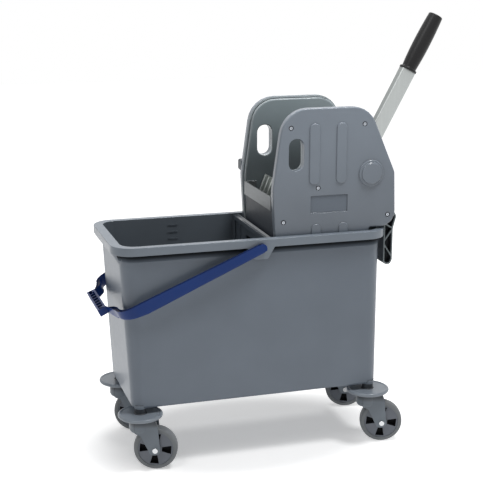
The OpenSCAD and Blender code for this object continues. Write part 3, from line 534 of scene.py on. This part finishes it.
def select_edges(piece, wanted):
    """Goes into edit mode with only the wanted edges selected.

    Each edge is judged by its two ends and the two faces that meet in it.
    """
    faces_at = {}
    for face in piece.data.polygons:
        for key in face.edge_keys:
            faces_at.setdefault(key, []).append(face)
    chosen = set()
    for key, faces in faces_at.items():
        ends = [piece.data.vertices[i].co for i in key]
        if len(faces) == 2 and wanted(ends, faces):
            chosen.add(key)
    take_up(piece)
    bpy.context.tool_settings.mesh_select_mode = (False, True, False)
    bpy.ops.object.mode_set(mode="EDIT")
    bpy.ops.mesh.select_all(action="DESELECT")
    bpy.ops.object.mode_set(mode="OBJECT")
    for edge in piece.data.edges:
        edge.select = edge.key in chosen
    bpy.ops.object.mode_set(mode="EDIT")


bail_plastic = moulded_plastic(
    "bail_plastic", paint(12, 54, 124), tint=0.08, rough=0.34, grain=0.03, shine=0.25)
# Painted shade: the band's upward faces and its channel are dark navy.
bail_channel_shade_plastic = moulded_plastic(
    "bail_channel_shade_plastic", paint(10, 22, 58), rough=0.5, shine=0.2)
bail_slope = math.radians(24)
bail_pivot = Vector((-0.0012, 0, 0.3748))
bail_way = Vector((-math.cos(bail_slope), 0, -math.sin(bail_slope)))
bail_up = Vector((-math.sin(bail_slope), 0, math.cos(bail_slope)))
outer_bends = [
    ((0.2596, 0.0609), (0.0020, 0.0160)),
    ((0.2531, 0.0560), (0.0015, 0.0150)),
]
inner_bends = [
    ((0.2596, 0.0539), (0.0070, 0.0015)),
    ((0.2691, 0.0560), (0.0140, 0.0)),
]
bend_near = 0.0006
bend_round = 0.008
upright_share = 0.95
lower_round = 0.0045
lower_from = 0.057
under_facing = -0.8
side_facing = 0.3
across_facing = 0.05
grip_half = 0.0545
channel_edge = 0.0014
channel_depth = 0.0040
channel_facing = 0.97
channel_least = 0.00004
band_top_facing = 0.6


def at_bend(point, along, across):
    """Whether a point of the bail lies at a bend, on either side of the grip."""
    reach = (point - bail_pivot).dot(bail_way)
    return abs(reach - along) < bend_near and abs(abs(point.y) - across) < bend_near


def in_swept_bend(ends, faces):
    """The upright edges in the two outer bends, after these were moved out."""
    upright = abs((ends[1] - ends[0]).normalized().dot(bail_up)) > upright_share
    return upright and any(
        all(at_bend(end, along + on, across + out) for end in ends)
        for (along, across), (on, out) in outer_bends)


def lower_outer(ends, faces):
    """The edges between the band's underside and its outer sides, without the grip."""
    under = [face for face in faces if face.normal.dot(bail_up) < under_facing]
    sides = [face for face in faces if abs(face.normal.dot(bail_up)) < side_facing]
    if len(under) != 1 or len(sides) != 1 or abs(ends[0].y) < lower_from:
        return False
    normal = sides[0].normal
    return normal.dot(bail_way) > side_facing or normal.y * ends[0].y > across_facing


def band_top(face):
    """The flat top of the band, without the grip and the narrow ends."""
    level = face.normal.dot(bail_up) > channel_facing
    return level and abs(face.center.y) > grip_half and face.area > channel_least


bail = merged_copy("bail")
for (along, across), (on, out) in outer_bends + inner_bends:
    for side in (-1, 1):
        select_points(
            bail, lambda point: point.y * side > 0 and at_bend(point, along, across))
        bpy.ops.transform.translate(value=on * bail_way + Vector((0, side * out, 0)))
        bpy.ops.object.mode_set(mode="OBJECT")
select_edges(bail, in_swept_bend)
bpy.ops.mesh.bevel(offset=bend_round, segments=6, affect="EDGES")
bpy.ops.object.mode_set(mode="OBJECT")
select_edges(bail, lower_outer)
bpy.ops.mesh.bevel(offset=lower_round, segments=5, affect="EDGES")
bpy.ops.object.mode_set(mode="OBJECT")
select_faces(bail, band_top)
bpy.ops.mesh.inset(thickness=channel_edge, depth=-channel_depth)
bpy.ops.object.mode_set(mode="OBJECT")
moulded_edges(bail, "bail", bail_plastic, "bail_plastic", edge=0.0006)
second_finish(
    bail, bail_channel_shade_plastic,
    lambda face: face.normal.dot(bail_up) > band_top_facing and abs(face.center.y) > grip_half)

# Outer covers of the wringer
# Two moulded shells that carry the raised ribs, the bearing bosses and a recess with a
# grained floor. Their lower parts are painted darker as shade, and their sides towards the
# inner covers lighter as a highlight. A dark peg stands on the far one.
housing_plastic = moulded_plastic(
    "housing_plastic", paint(137, 147, 159), rough=0.40, skin=0.5, shade_band=(0.385, 0.575, 0.70))
panel_plastic = moulded_plastic(
    "recess_panel_plastic", paint(118, 127, 138), rough=0.5, grain=0.12)
# Painted highlight: a lighter copy of the cover plastic for the faces round the inner covers.
rim_plastic = moulded_plastic(
    "cover_rim_highlight_plastic", paint(178, 187, 191), rough=0.40, skin=0.5, crease=0.1)
peg_plastic = moulded_plastic("peg_plastic", paint(78, 84, 90), rough=0.45)
flat_facing = 0.9
back_facing = 0.5
relief_from = 0.0965
relief_round = 0.0015
peg_from = 0.0985
peg_end = 0.045
panel_along = (0.085, 0.175)
panel_up = (0.395, 0.445)
panel_floor = (0.0925, 0.0946)


def tops_relief(ends, faces):
    """The upper edges of the raised ribs and bosses."""
    flat = [
        face for face in faces
        if abs(face.normal.y) > flat_facing and abs(face.center.y) > relief_from]
    return len(flat) == 1 and all(abs(end.y) > relief_from for end in ends)


def in_peg(face):
    """The peg at the front edge of a cover."""
    return abs(face.center.y) > peg_from and face.center.x < peg_end


def to_inner_cover(face):
    """The side of an outer cover that the inner cover lies on."""
    return face.normal.y * face.center.y < -back_facing * abs(face.center.y)


def on_panel(face):
    """The floor of the recess."""
    within = (
        panel_along[0] < face.center.x < panel_along[1]
        and panel_up[0] < face.center.z < panel_up[1]
        and panel_floor[0] < abs(face.center.y) < panel_floor[1])
    return within and abs(face.normal.y) > flat_facing


for side in ("near", "far"):
    outer = merged_copy(side + "_outer_cover")
    select_edges(outer, tops_relief)
    bpy.ops.mesh.bevel(offset=relief_round, segments=4, affect="EDGES")
    bpy.ops.object.mode_set(mode="OBJECT")
    moulded_edges(
        outer, side + "_outer_cover", housing_plastic, "housing_plastic", edge=0.0006, steps=3)
    second_finish(outer, peg_plastic, in_peg)
    second_finish(outer, rim_plastic, to_inner_cover)
    second_finish(outer, panel_plastic, on_panel)

# Inner covers of the wringer
# Two smaller shells, screwed to the outer ones face to face, that carry the shaft and the
# rods. The rim round the well is rounded, its narrow faces are painted lighter as a
# highlight, and their lower parts are painted darker as shade.
inner_plastic = moulded_plastic(
    "inner_housing_plastic", paint(154, 167, 172), rough=0.40, skin=0.5,
    shade_band=(0.470, 0.605, 0.30))
well_side = 0.075
well_near = 0.0002
well_round = 0.0026
wall_upright = 0.1
narrow_facing = 0.6
step_beyond = 0.004
before_covers = -0.2


def rims_well(inner, ends, faces):
    """The outer edges of an inner cover's side to the well: nothing lies beyond them."""
    walls = [face for face in faces if abs(face.normal.y) < wall_upright]
    if len(walls) != 1 or any(abs(abs(end.y) - well_side) > well_near for end in ends):
        return False
    beyond = (ends[0] + ends[1]) / 2 + step_beyond * walls[0].normal
    start = Vector((beyond.x, before_covers, beyond.z))
    return not inner.ray_cast(start, Vector((0, 1, 0)))[0]


for side in ("near", "far"):
    inner = merged_copy(side + "_inner_cover")
    bpy.context.view_layer.update()
    select_edges(inner, lambda ends, faces: rims_well(inner, ends, faces))
    bpy.ops.mesh.bevel(offset=well_round, segments=5, affect="EDGES")
    bpy.ops.object.mode_set(mode="OBJECT")
    moulded_edges(
        inner, side + "_inner_cover", inner_plastic, "housing_plastic", edge=0.0006)
    # Painted highlight: the narrow faces get the lighter cover rim plastic.
    second_finish(inner, rim_plastic, lambda face: abs(face.normal.y) < narrow_facing)


# Cover screws
# Nickel-plated pan-head screws, five on each side, that hold the covers together.
# Each head has a cross recess with a deeper middle, and its round edge is painted dark as shade.
def worked_metal(name, colour, rough=0.35, streak=(1, 1, 1), streak_size=0.002, tint=0.12,
                 grain=0.02, metal=1.0):
    """Metal with a drawn or rolled finish: streaks in one direction, and spangle in its tint."""
    gloss_spread = 0.08
    streak_depth = 0.0004
    material, tree, shader, place = new_material(name)
    shader.inputs["Metallic"].default_value = metal
    stretch = tree.nodes.new("ShaderNodeMapping")
    stretch.inputs["Scale"].default_value = streak
    tree.links.new(place, stretch.inputs["Vector"])
    lines = noise_field(tree, stretch.outputs["Vector"], streak_size, detail=5)
    tree.links.new(tinted(tree, lines, colour, tint), shader.inputs["Base Color"])
    uneven_gloss(tree, shader, lines, rough, gloss_spread)
    fine_relief(tree, shader, lines, strength=grain, depth=streak_depth)
    return material


screw_metal = worked_metal("screw_metal", paint(176, 181, 188), rough=0.25)
screw_shade_metal = worked_metal("screw_shade_metal", paint(52, 53, 55), rough=0.45)
screw_places = [
    (0.0425, 0.4115), (0.1035, 0.467), (0.0545, 0.5695), (0.231, 0.414), (0.185, 0.5715)]
screw_face = 0.095
head_facing = 0.97
cross_web = 0.0008
cross_wing = 0.0012
cross_depth = 0.0012
screws = edge_finished("cover_screws", screw_metal, "screw_metal", edge=0.0009, steps=4)
# Painted shade: the round edges of the heads are dark.
second_finish(screws, screw_shade_metal, lambda face: abs(face.normal.y) < head_facing)
cross_point = block("cross_point", (cross_web, 2 * cross_depth, cross_web))
bpy.ops.object.mode_set(mode="EDIT")
bpy.ops.mesh.select_all(action="SELECT")
bpy.ops.mesh.extrude_faces_move(TRANSFORM_OT_shrink_fatten={"value": cross_wing})
bpy.ops.object.mode_set(mode="OBJECT")
cutter = joined_copies(
    cross_point, [(x, y, z) for x, z in screw_places for y in (-screw_face, screw_face)])
take_up(screws)
recess = screws.modifiers.new("cross_recess", "BOOLEAN")
recess.operation = "DIFFERENCE"
recess.object = cutter
bpy.ops.object.modifier_apply(modifier="cross_recess")
bpy.data.objects.remove(cutter)

# Bar and rods
# A galvanised bar with folded tabs in front, the rod that the lever leans on, and the rod
# that the jaw turns on. They sit in the inner covers.
galvanised = worked_metal(
    "galvanised_steel", paint(114, 117, 119), rough=0.45, streak=(1, 0.25, 1),
    streak_size=0.006, tint=0.16)
for node in ("front_cross_bar", "rear_stop_rod", "jaw_hinge_rod"):
    edge_finished(node, galvanised, "galvanised_steel", edge=0.0004)

# Shaft bushes
# Flanged bearings of natural, ivory-coloured acetal. They are pressed into the inner covers,
# and the lever's shaft turns in them.
bush_plastic = moulded_plastic("bush_plastic", paint(218, 215, 204), rough=0.4, tint=0.03)
for side in ("near", "far"):
    edge_finished(side + "_shaft_bush", bush_plastic, "bush_plastic", edge=0.0004)

# Front jaw
# A slotted panel of moulded plastic between the inner covers, below the bar, painted dark as
# shade.
# The mop is pressed against it.
jaw_shade_plastic = moulded_plastic("jaw_shade_plastic", paint(46, 53, 62), rough=0.5)
edge_finished("front_jaw", jaw_shade_plastic, "divider_plastic", edge=0.0006)

# Moving jaw
# A bent and ribbed galvanised sheet between two flat cheeks, which hang on the hinge rod.
# The fronts of the ribs are painted bright as a highlight.
press_metal = worked_metal(
    "press_metal", paint(138, 144, 141), rough=0.5, streak=(1, 1, 0.1), tint=0.10, metal=0.5)
# Painted highlight: a bright copy of the sheet's metal for the rib fronts.
rib_highlight_metal = worked_metal(
    "press_rib_metal", paint(222, 227, 224), rough=0.4, streak=(1, 1, 0.1), tint=0.05,
    metal=0.5)
cheek_metal = worked_metal(
    "cheek_metal", paint(70, 72, 73), rough=0.55, streak=(1, 0.25, 1), streak_size=0.006,
    tint=0.16)
press_fold = Vector((0.0578, 0, 0.4489))
press_slope = Vector((-0.93, 0, 0.37))
rib_stand = 0.0012
rib_front = 0.0505
rib_facing = -0.3


def on_rib(face):
    """The fronts of the ribs, on the upright sheet and on its leaning lip."""
    lean = (face.center - press_fold).dot(press_slope)
    return (face.center.x < rib_front or lean > rib_stand) and face.normal.x < rib_facing


press = edge_finished("press_plate", press_metal, "press_metal", edge=0.0005)
second_finish(press, rib_highlight_metal, on_rib)
for node in ("near_jaw_cheek", "far_jaw_cheek"):
    edge_finished(node, cheek_metal, "galvanised_steel", edge=0.0003)

# Rear hooks
# Ribbed plastic hooks on the inner covers, behind the rear rim, that keep the wringer from
# tipping. Their ribs are painted lighter as a highlight, and the plastic between them darker
# as shade.
# Painted shade and highlight: dark plastic between the ribs, a lighter copy on the rib edges.
hook_plastic = moulded_plastic("hook_plastic", paint(84, 90, 96), rough=0.5, shine=0.2)
hook_rib_highlight_plastic = moulded_plastic(
    "hook_rib_highlight_plastic", paint(126, 135, 138), rough=0.45, crease=0.1)
rib_round = 0.0008
for side in ("near", "far"):
    hook = edge_finished(side + "_rear_hook", hook_plastic, "hook_plastic", edge=0.0005)
    rib_tops = max(abs(vertex.co.y) for vertex in hook.data.vertices) - rib_round
    second_finish(hook, hook_rib_highlight_plastic, lambda face: abs(face.center.y) > rib_tops)

# Lever
# A satin oval aluminium tube, fixed on the shaft, whose narrow sides are rougher and are
# painted darker as shade. A smooth black vinyl grip is pushed over its end.
lever_metal = worked_metal(
    "lever_metal", paint(178, 182, 181), rough=0.38, streak=(1, 1, 0.05), tint=0.04)
# Painted shade: the narrow sides are a darker, rougher copy of the tube's metal.
lever_side_shade_metal = worked_metal(
    "lever_side_shade_metal", paint(152, 156, 155), rough=0.5, streak=(1, 1, 0.05), tint=0.05)
grip_vinyl = moulded_plastic(
    "grip_vinyl", paint(24, 24, 25), rough=0.36, grain=0.01, tint=0.15, shine=0.3)
tube_facing = 0.5
tube = edge_finished("lever_tube", lever_metal, "lever_metal", edge=0.0005)
second_finish(tube, lever_side_shade_metal, lambda face: abs(face.normal.y) < tube_facing)
edge_finished("lever_grip", grip_vinyl, "grip_plastic", edge=0.0008, steps=3)

# Shaft, cranks and rollers
# The galvanised shaft turns in the bushes with the lever. Two flat cranks on it push the
# jaw's cheeks by rollers.
for node in ("lever_shaft", "near_crank", "far_crank", "crank_rollers"):
    edge_finished(node, galvanised, "galvanised_steel", edge=0.0004)

# Castor stems
# Turned and zinc-plated steel stems, one for each castor. They are pushed into the sockets
# under the tank.
castors = [end + "_" + side for end in ("front", "rear") for side in ("near", "far")]
castor_steel = worked_metal("castor_steel", paint(190, 190, 188), rough=0.35)
for castor in castors:
    edge_finished("castor_stem_" + castor, castor_steel, "castor_steel", edge=0.0004)


# Bumper discs
# Satin moulded discs on the stems, which fend the trolley off furniture. The collar that
# reaches up to the tank is painted dark as shade.
def middle_of(piece):
    """The middle of a piece's box."""
    corners = [Vector(corner) for corner in piece.bound_box]
    return sum(corners, Vector()) / len(corners)


bumper_plastic = moulded_plastic(
    "bumper_plastic", paint(138, 147, 157), rough=0.38, skin=0.3, crease=0.3)
# Painted shade: the collar under the tank is dark.
hub_shade_plastic = moulded_plastic("bumper_hub_plastic", paint(58, 63, 69), rough=0.5)
hub_reach = 0.0135


def in_hub(bumper, middle, face):
    """The collar in the middle of a bumper disc."""
    points = [bumper.data.vertices[i].co for i in face.vertices]
    return max((point - middle).xy.length for point in points) < hub_reach


for castor in castors:
    bumper = edge_finished(
        "bumper_disc_" + castor, bumper_plastic, "bumper_plastic", edge=0.0004)
    middle = middle_of(bumper)
    second_finish(bumper, hub_shade_plastic, lambda face: in_hub(bumper, middle, face))

# Forks
# Moulded nylon forks that swivel on the stems, with two arms that slant back to the axle.
# They are painted darker under the disc as shade.
fork_plastic = moulded_plastic(
    "fork_plastic", paint(126, 135, 144), rough=0.36, shade_band=(0.0860, 0.0760, 0.30))
for castor in castors:
    edge_finished("fork_" + castor, fork_plastic, "fork_plastic", edge=0.0006)

# Axle bolts
# Bright zinc-plated steel bolts with a domed head. They go through the fork's arms, and
# the wheels turn on them.
axle_steel = worked_metal("axle_steel", paint(190, 192, 194), rough=0.25)
for castor in castors:
    edge_finished("axle_" + castor, axle_steel, "axle_steel", edge=0.0006)

# Wheels and tyres
# Moulded nylon wheels with pockets in their faces, which are rough and painted dark as shade.
# Each wears a tyre of soft grey rubber.
wheel_plastic = moulded_plastic("wheel_plastic", paint(118, 123, 132), rough=0.36)
# Painted shade: the pockets are dark.
pocket_shade_plastic = moulded_plastic(
    "wheel_pocket_plastic", paint(26, 27, 31), rough=0.7, shine=0.15)
tyre_rubber = moulded_plastic("tyre_rubber", paint(130, 134, 137), rough=0.55, grain=0.1)
pocket_ring = (0.0102, 0.0272)
pocket_mouth = 0.0088
castor_yaw = math.radians(16.9)
axle_way = Vector((math.sin(castor_yaw), math.cos(castor_yaw), 0))


def in_pocket(middle, face):
    """The floors and walls of a wheel's pockets."""
    offset = face.center - middle
    along = offset.dot(axle_way)
    around = (offset - along * axle_way).length
    return pocket_ring[0] < around < pocket_ring[1] and abs(along) < pocket_mouth


for castor in castors:
    wheel = edge_finished("wheel_" + castor, wheel_plastic, "wheel_plastic", edge=0.0005)
    middle = middle_of(wheel)
    second_finish(wheel, pocket_shade_plastic, lambda face: in_pocket(middle, face))
    edge_finished("tyre_" + castor, tyre_rubber, "tyre_rubber", edge=0)
